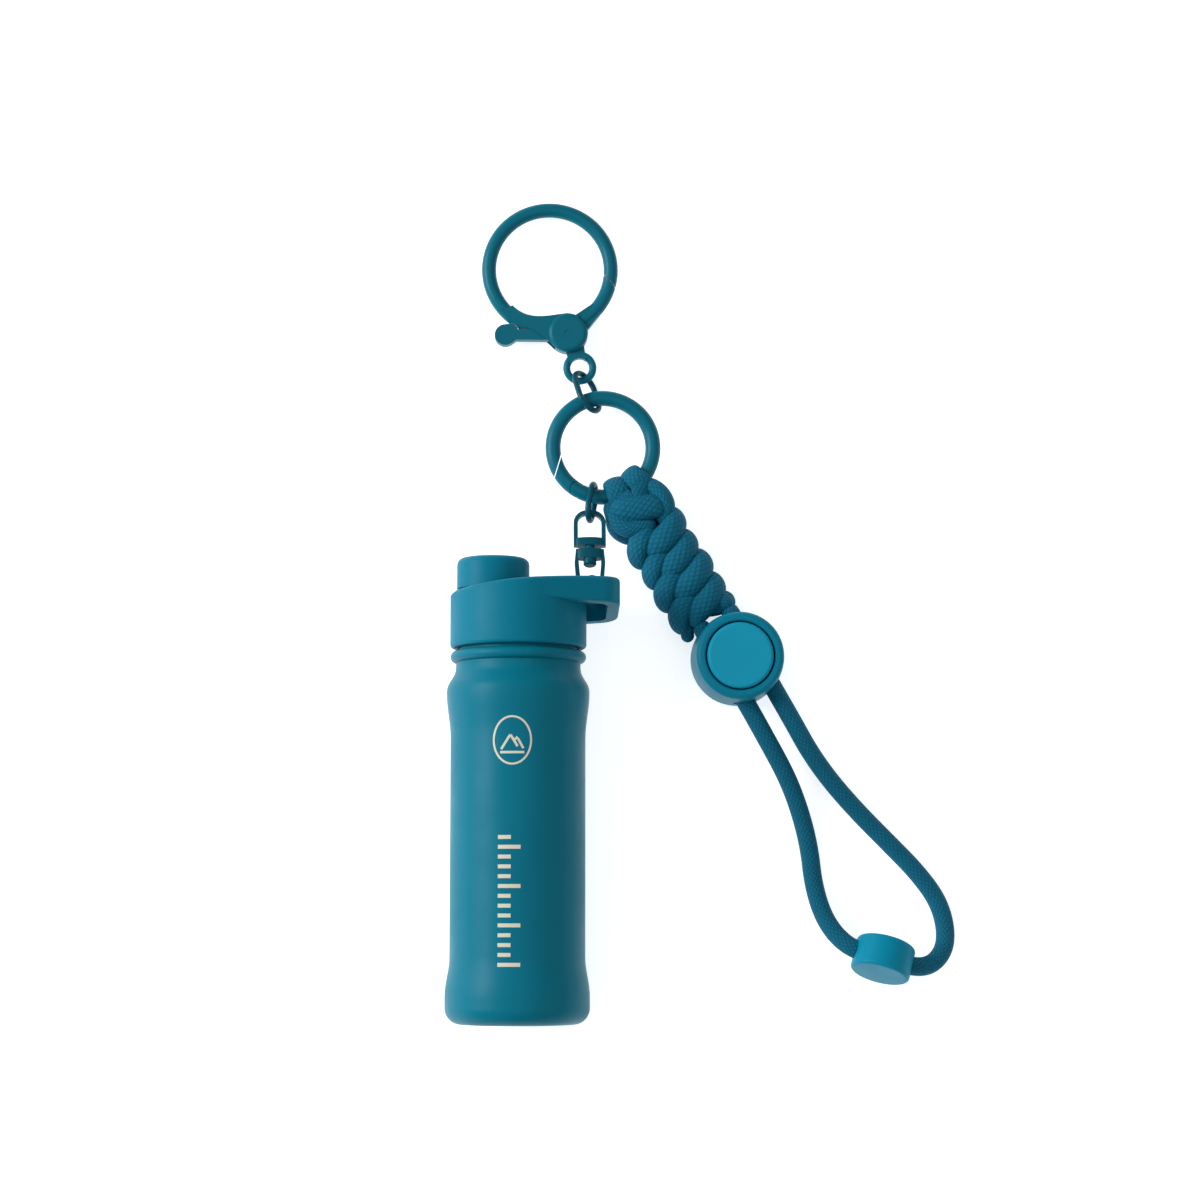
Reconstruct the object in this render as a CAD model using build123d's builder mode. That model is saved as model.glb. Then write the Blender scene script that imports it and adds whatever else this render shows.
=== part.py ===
"""A finger-sized screw-lid flask made as a key charm, with its swivel, links, spring-gate ring, snap clasp
and corded wrist loop, lying flat as it does on a table.

Millimetres. +Y runs along the flask from its foot to its lid, +X is to the side the lid's loop points to,
+Z is up from the table. The origin is the middle of the flask's foot, on its axis.
"""
import os
from math import asin, atan2, cos, degrees, hypot, pi, radians, sin, sqrt, tan

from build123d import *

os.makedirs("parts", exist_ok=True)

# ---------------------------------------------------------------- driving dimensions
RUNNING_GAP = 0.3       # between pieces that move past each other
PIN_GAP = 0.05          # radial, between a pin and what turns on it

# flask, by its outer radii and the heights where they lie
foot_radius = 15.17
body_radius = 14.2
shoulder_radius = 15.06
throat_radius = 13.15
bead_radius = 14.32
foot_round = 3.4        # height of the rounding under the foot
foot_top = 5.8          # the foot is widest up to here
body_start = 14.0
body_end = 59.5
shoulder_height = 69.2
throat_height = 74.6
bead_start = 75.5
bead_end = 77.9
neck_collar_radius = 12.5
neck_radius = 11.7
neck_top = 87.0
flask_wall = 1.0
punt_depth = 0.7        # the hollow in the middle of the foot
punt_radius = 8.8

# lid
lid_radius = 14.4
lid_bottom = 78.6
lid_wall = 1.65
lid_deck = 89.6         # floor inside the loop's wall
lid_ceiling = 87.9      # inside, over the neck
lid_bottom_round = 0.8
thread_pitch = 3.0
thread_height = 0.75    # of a ridge, from its wall
thread_root = 1.1
thread_tip = 0.6
thread_turns = 1.5
thread_start = bead_end + 2.4

# the loop at the lid's side: its end is a rounded rectangle joined to the lid's circle
loop_end = 21.3         # how far it reaches from the flask's axis
loop_corner = 5.0
loop_half_width = 10.0
loop_wall = 2.6
loop_top = ((-14.6, 90.15), (0.0, 92.15), (22.0, 93.1))   # its top edge, seen from the side, an arc
loop_under_front = 87.8     # its underside at the front and at the back
loop_under_back = 85.0
loop_edge_round = 0.9
hanger_x = 15.3         # the bar across the loop that the swivel hangs on
hanger_y = 91.75
hanger_radius = 1.6

# spout and its cap
spout_x = -5.36
collar_radius = 8.0
collar_top = 90.8
spout_radius = 5.8
spout_wall = 1.2
spout_top = 96.3
cap_radius = 7.67
cap_wall = 1.07
cap_bottom = 91.0
cap_top = 98.2
cap_dome = 0.4
cap_round = 1.5
cap_pitch = 2.4
cap_thread_height = 0.5
cap_thread_root = 0.9
cap_thread_tip = 0.5
cap_thread_turns = 1.1
cap_thread_start = collar_top + 1.0
gasket_thickness = 0.8

# swivel: its bows lie along an axis that slopes down from the hanger bar to the table
swivel_slope = 15.0
swivel_depth = -3.9     # where along the hanger bar it sits, from the flask's axis
bow_wire = 0.9
bow_leg_depth = 1.3
bow_bar_depth = 2.6
lower_bow_half = 3.3
lower_bow_foot_half = 2.8
lower_bow_bar = (7.0, 9.15)     # along the swivel's axis, from the hanger bar's middle
upper_bow_half = 3.45
upper_bow_bar = (9.9, 11.65)
upper_bow_top = 18.2
upper_bow_corner = 3.0
rivet_radius = 1.05
rivet_head_radius = 1.4
rivet_head = 1.5

# spring-gate ring
ring_x = 18.3
ring_y = 123.6
ring_height = 4.3       # of its wire's middle, over the table
ring_outer = 25.0 / 2
ring_wire = 3.3
gate_inner_angle = 192.0    # the slanted nose, where it meets the inner and outer side of the ring
gate_outer_angle = 213.0
gate_pivot_angle = 240.0
gate_nose_gap = 0.25
gate_knuckle = 1.6
gate_tongue = 1.2
gate_pin_radius = 0.45
gate_spring_bore = 0.75
gate_spring_length = 3.0

# oval links
link_wire = 1.3
lower_link_inner = (7.3, 3.9)
lower_link_roll = 15.0      # of its flat, from upright, about its own length
upper_link_inner = (8.3, 5.3)
upper_link_roll = 35.0

# snap clasp
clasp_x = 6.72
clasp_y = 163.3
clasp_height = 2.35
clasp_outer = 29.8 / 2
clasp_wire = 3.1
clasp_free_end = (-6.0, -16.0)      # angles of the ring's stepped free end, inner and outer
clasp_rivet_at = (10.7, 148.8)
clasp_boss = 4.35
clasp_thickness = 4.6
lever_thickness = 2.4
eyelet_at = (13.3, 141.5)
eyelet_outer = 3.65
eyelet_hole = 2.05
eyelet_thickness = 1.6
clasp_rivet_radius = 0.8
lever_recess = 2.3          # under the lever's hub, for the spring wound round the rivet
lever_recess_depth = 1.25
lever_swing = 24.0          # how far the lever turns to open the ring
lever_hub = 3.3
lever_neck = 2.7
lever_sector_end = -47.0    # where the lever's stretch of the ring runs into its flat arm
tab_at = (-3.0, 148.6)
tab_radius = 2.3
nose_gap = 0.3

# plaited lanyard
cord_diameter = 4.0
lanyard_start = (24.9, 110.8)
lanyard_end = (41.7, 86.9)
lanyard_width = 16.4
lanyard_thickness = 9.2
lanyard_lift = 0.35         # of its underside over the table
sleeve_angle = 299.0        # where it grips the ring, and over how much of it
sleeve_half_angle = 27.0
sleeve_radius = 4.0
lanyard_swing = 15.0

# cord lock
lock_x = 47.25
lock_y = 77.6
lock_heading = -60.0        # of the cords through it
lock_radius = 9.9
lock_face_radius = 9.2
lock_body_height = 13.4
lock_height = 14.0
lock_floor = 1.2
lock_cord_offset = 3.4      # of each cord from the lock's middle
lock_cord_height = 6.9
lock_hole = 4.8
button_radius = 7.1
button_travel = 2.0
button_floor = 0.8
lock_travel = 8.0

# cord joiner
joiner_x = 77.75
joiner_y = 13.4
joiner_height = 7.05
joiner_radius = 6.35
joiner_length = 7.0
joiner_heading = -16.5      # of the cord through it
joiner_tip = 17.0           # its lower face looks up by this much
joiner_cap_radius = 5.3
joiner_cap_depth = 0.9

# ---------------------------------------------------------------- the table and shared frames
TABLE_Z = -foot_radius


def unit(angle):
    """A unit vector in the table's plane."""
    return Vector(cos(radians(angle)), sin(radians(angle)), 0)


def save(piece, name, colour):
    piece.part.label = name
    piece.part.color = Color(colour)
    export_step(piece.part, f"parts/{name}.step")


TEAL, METAL, CORD, LOCK, STEEL, RUBBER = 0x0B6C86, 0x0A5E74, 0x075A76, 0x1A8DAA, 0xB8BCC0, 0x2A2E30


def ridge(radius, start, pitch, turns, height, root, tip, x=0.0, inward=False):
    """A helical thread ridge round an axis along +Y, standing out of (or into) a wall of that radius."""
    sink = 0.12
    way = -1 if inward else 1
    path = Helix(pitch, pitch * turns, radius, center=(x, start, 0), direction=(0, 1, 0), mode=Mode.PRIVATE)
    at = path.position_at(0)
    outward = Vector(at.X - x, 0, at.Z).normalized()
    with BuildPart() as thread:
        with BuildSketch(Plane(origin=at, x_dir=outward, z_dir=path.tangent_at(0))):
            with BuildLine():
                Polyline((-sink * way, -root / 2), (height * way, -tip / 2), (height * way, tip / 2),
                         (-sink * way, root / 2), close=True)
            make_face()
        sweep(path=path, is_frenet=True)
    return thread.part


# ---------------------------------------------------------------- flask
with BuildPart() as flask_body:
    with BuildSketch(Plane.XY):
        with BuildLine():
            Polyline((0, punt_depth), (punt_radius, punt_depth), (punt_radius + 0.7, 0),
                     (foot_radius - foot_round, 0))
            RadiusArc((foot_radius - foot_round, 0), (foot_radius, foot_round), -foot_round)
            Line((foot_radius, foot_round), (foot_radius, foot_top))
            Spline((foot_radius, foot_top), (body_radius, body_start), tangents=[(0, 1), (0, 1)])
            Line((body_radius, body_start), (body_radius, body_end))
            Spline((body_radius, body_end), (shoulder_radius, shoulder_height), tangents=[(0, 1), (0, 1)])
            Spline((shoulder_radius, shoulder_height), (throat_radius, throat_height),
                   tangents=[(0, 1), (0, 1)])
            Line((throat_radius, throat_height), (throat_radius, bead_start))
            ThreePointArc((throat_radius, bead_start), (bead_radius, (bead_start + bead_end) / 2),
                          (neck_collar_radius, bead_end))
            Polyline((neck_collar_radius, bead_end), (neck_collar_radius, bead_end + 1.3),
                     (neck_radius, bead_end + 1.6), (neck_radius, neck_top - 0.4),
                     (neck_radius - 0.4, neck_top), (neck_radius - flask_wall + 0.2, neck_top),
                     (neck_radius - flask_wall, neck_top - 0.2),
                     (neck_radius - flask_wall, throat_height))
            Spline((neck_radius - flask_wall, throat_height),
                   (shoulder_radius - flask_wall, shoulder_height - 1.5), tangents=[(0, -1), (0, -1)])
            Spline((shoulder_radius - flask_wall, shoulder_height - 1.5),
                   (body_radius - flask_wall, body_end), tangents=[(0, -1), (0, -1)])
            Line((body_radius - flask_wall, body_end), (body_radius - flask_wall, foot_round + 1.5))
            inner_round = foot_round - flask_wall
            RadiusArc((body_radius - flask_wall, foot_round + 1.5),
                      (body_radius - flask_wall - inner_round, foot_round + 1.5 - inner_round), inner_round)
            Polyline((body_radius - flask_wall - inner_round, foot_round + 1.5 - inner_round),
                     (0, foot_round + 1.5 - inner_round), (0, punt_depth))
        make_face()
    revolve(axis=Axis.Y)
    add(ridge(neck_radius, thread_start, thread_pitch, thread_turns, thread_height, thread_root,
              thread_tip))
save(flask_body, "flask_body", TEAL)


# ---------------------------------------------------------------- lid
def across(y):
    """The plane square to the flask's axis at that height; its own y is -Z."""
    return Plane(origin=(0, y, 0), x_dir=(1, 0, 0), z_dir=(0, 1, 0))


def loop_outline(inset):
    """The lid's circle and the loop's rounded end under one tight band, drawn in the current sketch."""
    Circle(lid_radius - inset)
    corner_x, corner_z = loop_end - loop_corner, loop_half_width - loop_corner
    with Locations((corner_x, corner_z), (corner_x, -corner_z)):
        Circle(loop_corner - inset)
    make_hull()


lid_bore = lid_radius - lid_wall
scoop = hanger_radius + RUNNING_GAP + bow_wire + 0.5     # room for the swivel's bow to turn on its bar
clear = 3 * loop_end    # past everything
hanger_reach = loop_half_width - loop_wall / 2
skirt_top = loop_under_front + 1.2

with BuildPart() as lid_shell:
    with BuildSketch(across(loop_under_back - 1)):
        loop_outline(0)
    extrude(amount=loop_top[2][1] + 2 - loop_under_back)
    with BuildSketch(Plane.XY):
        with BuildLine():
            ThreePointArc(*loop_top)
            Polyline(loop_top[2], (clear, loop_top[2][1]), (clear, clear * 2), (-clear, clear * 2),
                     (-clear, loop_top[0][1]), loop_top[0])
        make_face()
    extrude(amount=clear, both=True, mode=Mode.SUBTRACT)
    under = Plane(origin=(0, (loop_under_front + loop_under_back) / 2, 0), x_dir=(1, 0, 0),
                  z_dir=(0, 1, -(loop_under_front - loop_under_back) / (2 * loop_half_width)))
    with BuildSketch(under):
        Rectangle(clear, clear)
    extrude(amount=-clear, mode=Mode.SUBTRACT)
    outer_rim = lid_shell.edges().filter_by(lambda e: e.center().Y > loop_under_front + 1)
    fillet(outer_rim, radius=loop_edge_round)
    lower_rim = lid_shell.edges().filter_by(lambda e: e.center().Y < loop_under_front + 0.5)
    fillet(lower_rim, radius=loop_edge_round * 0.6)
    with BuildSketch(Plane.XY):
        with BuildLine():
            Polyline((lid_radius, lid_bottom + lid_bottom_round), (lid_radius, skirt_top), (0, skirt_top),
                     (0, lid_bottom), (lid_radius - lid_bottom_round, lid_bottom))
            RadiusArc((lid_radius - lid_bottom_round, lid_bottom),
                      (lid_radius, lid_bottom + lid_bottom_round), -lid_bottom_round)
        make_face()
    revolve(axis=Axis.Y)
    with BuildSketch(across(lid_deck)):
        loop_outline(loop_wall)
    extrude(amount=clear, mode=Mode.SUBTRACT)
    with BuildSketch(across(lid_bottom)):
        loop_outline(loop_wall)
        Circle(lid_radius, mode=Mode.SUBTRACT)
    extrude(amount=clear, mode=Mode.SUBTRACT)
    with BuildSketch(Plane.XY):
        with Locations((hanger_x, hanger_y)):
            Circle(scoop)
    extrude(amount=loop_half_width - loop_wall, both=True, mode=Mode.SUBTRACT)
    with BuildSketch(Plane.XY):
        with Locations((hanger_x, hanger_y)):
            Circle(hanger_radius)
    extrude(amount=hanger_reach, both=True)
    with BuildSketch(across(lid_deck - 0.5)):
        with Locations((spout_x, 0)):
            Circle(collar_radius)
    extrude(amount=collar_top - lid_deck + 0.5)
    with BuildSketch(across(lid_deck - 0.5)):
        with Locations((spout_x, 0)):
            Circle(spout_radius)
    extrude(amount=spout_top - lid_deck + 0.5)
    with BuildSketch(across(lid_ceiling - 0.5)):
        with Locations((spout_x, 0)):
            Circle(spout_radius - spout_wall)
    extrude(amount=clear, mode=Mode.SUBTRACT)
    with BuildSketch(across(lid_bottom)):
        Circle(lid_bore)
    extrude(amount=lid_ceiling - lid_bottom, mode=Mode.SUBTRACT)
    add(ridge(lid_bore, thread_start + thread_pitch / 2, thread_pitch, thread_turns, thread_height,
              thread_root, thread_tip, inward=True))
    add(ridge(spout_radius, cap_thread_start, cap_pitch, cap_thread_turns, cap_thread_height,
              cap_thread_root, cap_thread_tip, x=spout_x))
save(lid_shell, "lid_shell", TEAL)

with BuildPart() as lid_gasket:
    with BuildSketch(across(neck_top + 0.05)):
        Circle(lid_bore - 0.25)
        Circle(neck_radius - flask_wall, mode=Mode.SUBTRACT)
    extrude(amount=lid_ceiling - neck_top - 0.1)
save(lid_gasket, "lid_gasket", RUBBER)

# ---------------------------------------------------------------- spout cap
cap_bore = cap_radius - cap_wall
cap_ceiling = spout_top + gasket_thickness + 0.1
cap_edge = cap_top - cap_dome
with BuildPart() as spout_cap:
    with BuildSketch(Plane(origin=(spout_x, 0, 0))):
        with BuildLine():
            Line((0, cap_ceiling), (0, cap_top))
            ThreePointArc((0, cap_top), (cap_radius * 0.45, cap_top - cap_dome * 0.3),
                          (cap_radius - cap_round, cap_edge))
            RadiusArc((cap_radius - cap_round, cap_edge), (cap_radius, cap_edge - cap_round), cap_round)
            Polyline((cap_radius, cap_edge - cap_round), (cap_radius, cap_bottom + 0.3),
                     (cap_radius - 0.3, cap_bottom), (cap_bore, cap_bottom), (cap_bore, cap_ceiling),
                     (0, cap_ceiling))
        make_face()
    revolve(axis=Axis((spout_x, 0, 0), (0, 1, 0)))
    add(ridge(cap_bore, cap_thread_start + cap_pitch / 2, cap_pitch, cap_thread_turns, cap_thread_height,
              cap_thread_root, cap_thread_tip, x=spout_x, inward=True))
save(spout_cap, "spout_cap", TEAL)

with BuildPart() as spout_gasket:
    with BuildSketch(across(spout_top + 0.05)):
        with Locations((spout_x, 0)):
            Circle(cap_bore - 0.4)
            Circle(spout_radius - spout_wall, mode=Mode.SUBTRACT)
    extrude(amount=gasket_thickness)
save(spout_gasket, "spout_gasket", RUBBER)

# ---------------------------------------------------------------- swivel
slope = radians(swivel_slope)
swivel_origin = Vector(hanger_x, hanger_y, swivel_depth)
swivel_plane = Plane(origin=swivel_origin, x_dir=(1, 0, 0), z_dir=(0, sin(slope), cos(slope)))
swivel_side = Plane(origin=swivel_origin, x_dir=(1, 0, 0), z_dir=(0, cos(slope), -sin(slope)))


def on_swivel(along):
    """The plane square to the swivel's axis at that distance from the hanger bar's middle."""
    return swivel_side.offset(along)


foot_inside = hanger_radius + RUNNING_GAP
with BuildPart() as swivel_lower_bow:
    low, high = lower_bow_bar
    with BuildSketch(swivel_plane):
        with BuildLine():
            Polyline((lower_bow_foot_half, 0), (lower_bow_half, low - 1), (lower_bow_half - 0.3, high),
                     (0.3 - lower_bow_half, high), (-lower_bow_half, low - 1), (-lower_bow_foot_half, 0))
            ThreePointArc((-lower_bow_foot_half, 0), (0, -lower_bow_foot_half), (lower_bow_foot_half, 0))
        make_face()
        with BuildLine():
            Polyline((foot_inside, 0), (lower_bow_half - bow_wire, low - 1), (lower_bow_half - bow_wire, low),
                     (bow_wire - lower_bow_half, low), (bow_wire - lower_bow_half, low - 1),
                     (-foot_inside, 0))
            ThreePointArc((-foot_inside, 0), (0, -foot_inside), (foot_inside, 0))
        make_face(mode=Mode.SUBTRACT)
    extrude(amount=bow_leg_depth / 2, both=True)
    with BuildSketch(on_swivel(low)):
        Ellipse(lower_bow_half - 0.3, bow_bar_depth / 2)
    extrude(amount=high - low)
    with BuildSketch(on_swivel(low)):
        Circle(rivet_radius + PIN_GAP)
    extrude(amount=high - low, mode=Mode.SUBTRACT)
save(swivel_lower_bow, "swivel_lower_bow", METAL)


def bow_outline(half, low, top, corner):
    """A bow from its bar up, with a rounded top, drawn in the current sketch."""
    spring = top - corner
    with Locations((0, (low + spring) / 2)):
        Rectangle(2 * half, spring - low)
    with Locations((0, spring)):
        Rectangle(2 * (half - corner), 2 * corner)
    with Locations((corner - half, spring), (half - corner, spring)):
        Circle(corner)


with BuildPart() as swivel_upper_bow:
    low, high = upper_bow_bar
    with BuildSketch(swivel_plane):
        bow_outline(upper_bow_half, low, upper_bow_top, upper_bow_corner)
    extrude(amount=bow_leg_depth / 2, both=True)
    with BuildSketch(swivel_plane):
        bow_outline(upper_bow_half - bow_wire, high, upper_bow_top - bow_wire, upper_bow_corner - bow_wire)
    extrude(amount=bow_leg_depth, both=True, mode=Mode.SUBTRACT)
    with BuildSketch(on_swivel(low)):
        Ellipse(upper_bow_half, bow_bar_depth / 2)
    extrude(amount=high - low)
    with BuildSketch(on_swivel(low)):
        Circle(rivet_radius)
    extrude(amount=high - low, mode=Mode.SUBTRACT)
save(swivel_upper_bow, "swivel_upper_bow", METAL)

rivet_head_top = lower_bow_bar[0] - PIN_GAP
with BuildPart() as swivel_rivet:
    with BuildSketch(swivel_plane):
        with BuildLine():
            Polyline((0, rivet_head_top - rivet_head), (rivet_head_radius - 0.3, rivet_head_top - rivet_head),
                     (rivet_head_radius, rivet_head_top - rivet_head + 0.3),
                     (rivet_head_radius, rivet_head_top), (rivet_radius, rivet_head_top),
                     (rivet_radius, upper_bow_bar[1]), (0, upper_bow_bar[1] + 0.3), close=True)
        make_face()
    revolve(axis=Axis(swivel_origin, swivel_side.z_dir))
save(swivel_rivet, "swivel_rivet", METAL)


# ---------------------------------------------------------------- spring-gate ring
ring_middle = Vector(ring_x, ring_y, TABLE_Z + ring_height)
ring_radius = ring_outer - ring_wire / 2


def on_ring(angle, radius=ring_radius):
    return ring_middle + unit(angle) * radius


def oval_link(inner, end_a, end_b, thick_a, thick_b, roll):
    """A wire link round two wires, given their middles and thicknesses, and rolled about its own length."""
    length, width = inner
    along = (end_b - end_a).normalized()
    middle = (end_a + end_b) * 0.5 + along * (thick_b - thick_a) / 4
    level = along.cross(Vector(0, 0, 1)).normalized()
    upright = level.cross(along)
    side = upright * cos(radians(roll)) + level * sin(radians(roll))
    flat = Plane(origin=middle, x_dir=along, z_dir=along.cross(side))
    half = (width + link_wire) / 2
    straight = (length - width) / 2
    with BuildPart() as link:
        with BuildLine(flat) as path:
            Line((-straight, half), (straight, half))
            ThreePointArc((straight, half), (straight + half, 0), (straight, -half))
            Line((straight, -half), (-straight, -half))
            ThreePointArc((-straight, -half), (-straight - half, 0), (-straight, half))
        with BuildSketch(Plane(origin=flat.from_local_coords((0, half, 0)), z_dir=along)):
            Circle(link_wire / 2)
        sweep()
    return link


arch_middle = swivel_origin + swivel_side.z_dir * (upper_bow_top - bow_wire / 2)
lower_link_angle = degrees(atan2(arch_middle.Y - ring_y, arch_middle.X - ring_x)) % 360
lower_link = oval_link(lower_link_inner, on_ring(lower_link_angle), arch_middle, ring_wire, bow_wire,
                       lower_link_roll)
save(lower_link, "lower_link", METAL)

pivot = on_ring(gate_pivot_angle)
pin_reach = ring_wire * 0.42        # of the gate's pin, each way from the ring's middle
ring_base = Plane(origin=(ring_x, ring_y, ring_middle.Z))
pivot_x, pivot_y = ring_radius * cos(radians(gate_pivot_angle)), ring_radius * sin(radians(gate_pivot_angle))


# the gate's spring pushes from a bore in the ring, behind the gate's knuckle
bore_way = unit(gate_pivot_angle + 90)
gate_bore = Plane(origin=pivot + bore_way * (gate_knuckle + RUNNING_GAP) - unit(gate_pivot_angle) * 0.15,
                  z_dir=bore_way)


def gate_mask(gap):
    """The gate's stretch of the ring, seen from above, grown by gap at its slanted nose."""
    inner = Vector(ring_radius - ring_wire / 2, 0).rotate(Axis.Z, gate_inner_angle)
    outer = Vector(ring_radius + ring_wire / 2, 0).rotate(Axis.Z, gate_outer_angle)
    slant = (outer - inner).normalized()
    back = Vector(slant.Y, -slant.X)    # away from the gate
    if back.dot(unit(gate_pivot_angle) * ring_radius - inner) > 0:
        back = back * -1
    inner, outer = inner + back * gap - slant * ring_wire, outer + back * gap + slant * ring_wire
    far = unit(gate_pivot_angle)
    return Polygon(inner, outer, far * ring_outer * 1.6, far * (ring_radius - 2 * ring_wire), align=None,
                   mode=Mode.PRIVATE)


with BuildPart() as spring_ring_body:
    with Locations(ring_middle):
        Torus(ring_radius, ring_wire / 2)
    with BuildSketch(ring_base.offset(-ring_wire)):
        add(gate_mask(gate_nose_gap))
        with Locations((pivot_x, pivot_y)):
            Circle(gate_knuckle + RUNNING_GAP / 2, mode=Mode.SUBTRACT)
    extrude(amount=2 * ring_wire, mode=Mode.SUBTRACT)
    with BuildSketch(ring_base):
        with Locations((pivot_x, pivot_y)):
            Circle(gate_knuckle + RUNNING_GAP / 2 + 0.02)
    extrude(amount=gate_tongue / 2 + 0.15, both=True, mode=Mode.SUBTRACT)
    with BuildSketch(ring_base):
        with Locations((pivot_x, pivot_y)):
            Circle(gate_pin_radius)
    extrude(amount=pin_reach, both=True, mode=Mode.SUBTRACT)
    with BuildSketch(gate_bore.offset(-gate_knuckle / 2)):
        Circle(gate_spring_bore)
    extrude(amount=gate_spring_length + gate_knuckle / 2 + 0.2, mode=Mode.SUBTRACT)
save(spring_ring_body, "spring_ring_body", TEAL)

with BuildPart() as spring_ring_gate:
    with Locations(ring_middle):
        Torus(ring_radius, ring_wire / 2)
    with BuildSketch(ring_base.offset(-ring_wire)):
        add(gate_mask(0))
        with Locations((pivot_x, pivot_y)):
            Circle(gate_knuckle)
    extrude(amount=2 * ring_wire, mode=Mode.INTERSECT)
    for side in (1, -1):
        with BuildSketch(ring_base.offset(side * gate_tongue / 2)):
            with Locations((pivot_x, pivot_y)):
                Circle(gate_knuckle + RUNNING_GAP)
        extrude(amount=side * ring_wire, mode=Mode.SUBTRACT)
    with BuildSketch(ring_base):
        with Locations((pivot_x, pivot_y)):
            Circle(gate_pin_radius + PIN_GAP)
    extrude(amount=ring_wire, both=True, mode=Mode.SUBTRACT)
save(spring_ring_gate, "spring_ring_gate", TEAL)

with BuildPart() as gate_pin:
    with BuildSketch(ring_base):
        with Locations((pivot_x, pivot_y)):
            Circle(gate_pin_radius)
    extrude(amount=pin_reach, both=True)
save(gate_pin, "gate_pin", STEEL)

# ---------------------------------------------------------------- upper link and snap clasp
clasp_middle = Vector(clasp_x, clasp_y, TABLE_Z + clasp_height)
clasp_radius = clasp_outer - clasp_wire / 2
clasp_base = Plane(origin=(0, 0, clasp_middle.Z))
eyelet_middle = Vector(*eyelet_at, clasp_middle.Z)
eyelet_wire = (eyelet_outer + eyelet_hole) / 2
upper_link_angle = degrees(atan2(eyelet_at[1] - ring_y, eyelet_at[0] - ring_x))
eyelet_low = eyelet_middle - unit(upper_link_angle) * eyelet_wire
upper_link = oval_link(upper_link_inner, eyelet_low, on_ring(upper_link_angle),
                       eyelet_outer - eyelet_hole, ring_wire, upper_link_roll)
save(upper_link, "upper_link", METAL)

rivet_x, rivet_y = clasp_rivet_at


def clasp_free_mask(gap):
    """The lever's stretch of the clasp's ring, seen from above, from its slanted nose round to the boss."""
    inner = Vector(clasp_radius - clasp_wire / 2, 0).rotate(Axis.Z, clasp_free_end[0])
    outer = Vector(clasp_radius + clasp_wire / 2, 0).rotate(Axis.Z, clasp_free_end[1])
    slant = (outer - inner).normalized()
    back = Vector(-slant.Y, slant.X)    # towards the ring's fixed end
    inner, outer = inner + back * gap - slant * clasp_wire, outer + back * gap + slant * clasp_wire
    middle = Vector(clasp_x, clasp_y)
    end = Vector(1, 0).rotate(Axis.Z, lever_sector_end)
    return Polygon(middle + inner, middle + outer, middle + end * clasp_outer * 1.3,
                   middle + end * (clasp_radius - 2 * clasp_wire), align=None, mode=Mode.PRIVATE)


arm_root = Vector(clasp_x, clasp_y) + Vector(clasp_radius, 0).rotate(Axis.Z, lever_sector_end + 4)
rivet_point = Vector(rivet_x, rivet_y)


def bar_between(a, b, width_a, width_b):
    """A tapering flat bar with round ends, seen from above."""
    with BuildSketch() as bar:
        with Locations(a):
            Circle(width_a / 2)
        with Locations(b):
            Circle(width_b / 2)
        make_hull()
    return bar.sketch


lever_plate = bar_between(rivet_point, arm_root, 2 * lever_hub * 0.8, clasp_wire * 0.95) + bar_between(
    rivet_point, tab_at, lever_neck, lever_neck * 0.8) + bar_between(tab_at, Vector(*tab_at) + Vector(
        0.9, 0.35), 2 * tab_radius, 2 * tab_radius * 0.9)
with BuildSketch() as hub:
    with Locations(rivet_point):
        Circle(lever_hub)
lever_plate = lever_plate + hub.sketch

with BuildPart() as clasp_lever:
    with Locations(clasp_middle):
        Torus(clasp_radius, clasp_wire / 2)
    with BuildSketch(clasp_base.offset(-clasp_wire)):
        add(clasp_free_mask(0))
    extrude(amount=2 * clasp_wire, mode=Mode.INTERSECT)
    with BuildSketch(clasp_base):
        add(lever_plate)
    extrude(amount=lever_thickness / 2, both=True)
    with BuildSketch(clasp_base):
        with Locations(rivet_point):
            Circle(clasp_rivet_radius + PIN_GAP)
    extrude(amount=clasp_wire, both=True, mode=Mode.SUBTRACT)
    with BuildSketch(clasp_base.offset(-lever_thickness / 2)):
        with Locations(rivet_point):
            Circle(lever_recess)
    extrude(amount=lever_recess_depth, mode=Mode.SUBTRACT)
save(clasp_lever, "clasp_lever", TEAL)

boss_point = Vector(rivet_x, rivet_y + 0.3)
root_top = Vector(-1.4, 155.0)      # where the ring runs into the body, on its inner side
root_low = Vector(-4.4, 154.0)      # and on its outer side
with BuildSketch() as clasp_plate:
    with BuildLine():
        Spline(root_top, (4.2, 152.7), (7.6, 153.0), boss_point + Vector(0, clasp_boss))
        Line(boss_point + Vector(0, clasp_boss), boss_point - Vector(clasp_boss * 0.7, clasp_boss * 0.7))
        Spline(boss_point - Vector(clasp_boss * 0.7, clasp_boss * 0.7), (4.5, 148.7), (0.4, 151.2), root_low)
        Line(root_low, root_top)
    make_face()
with BuildSketch() as clasp_boss_disc:
    with Locations(boss_point):
        Circle(clasp_boss)
with BuildSketch() as eyelet_root:
    with Locations(boss_point + Vector(1.2, -2.4)):
        Circle(2.2)
    with Locations(eyelet_at):
        Circle(1.6)
    make_hull()

with BuildSketch() as lever_room:
    add(lever_plate)
    offset(amount=RUNNING_GAP)

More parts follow.
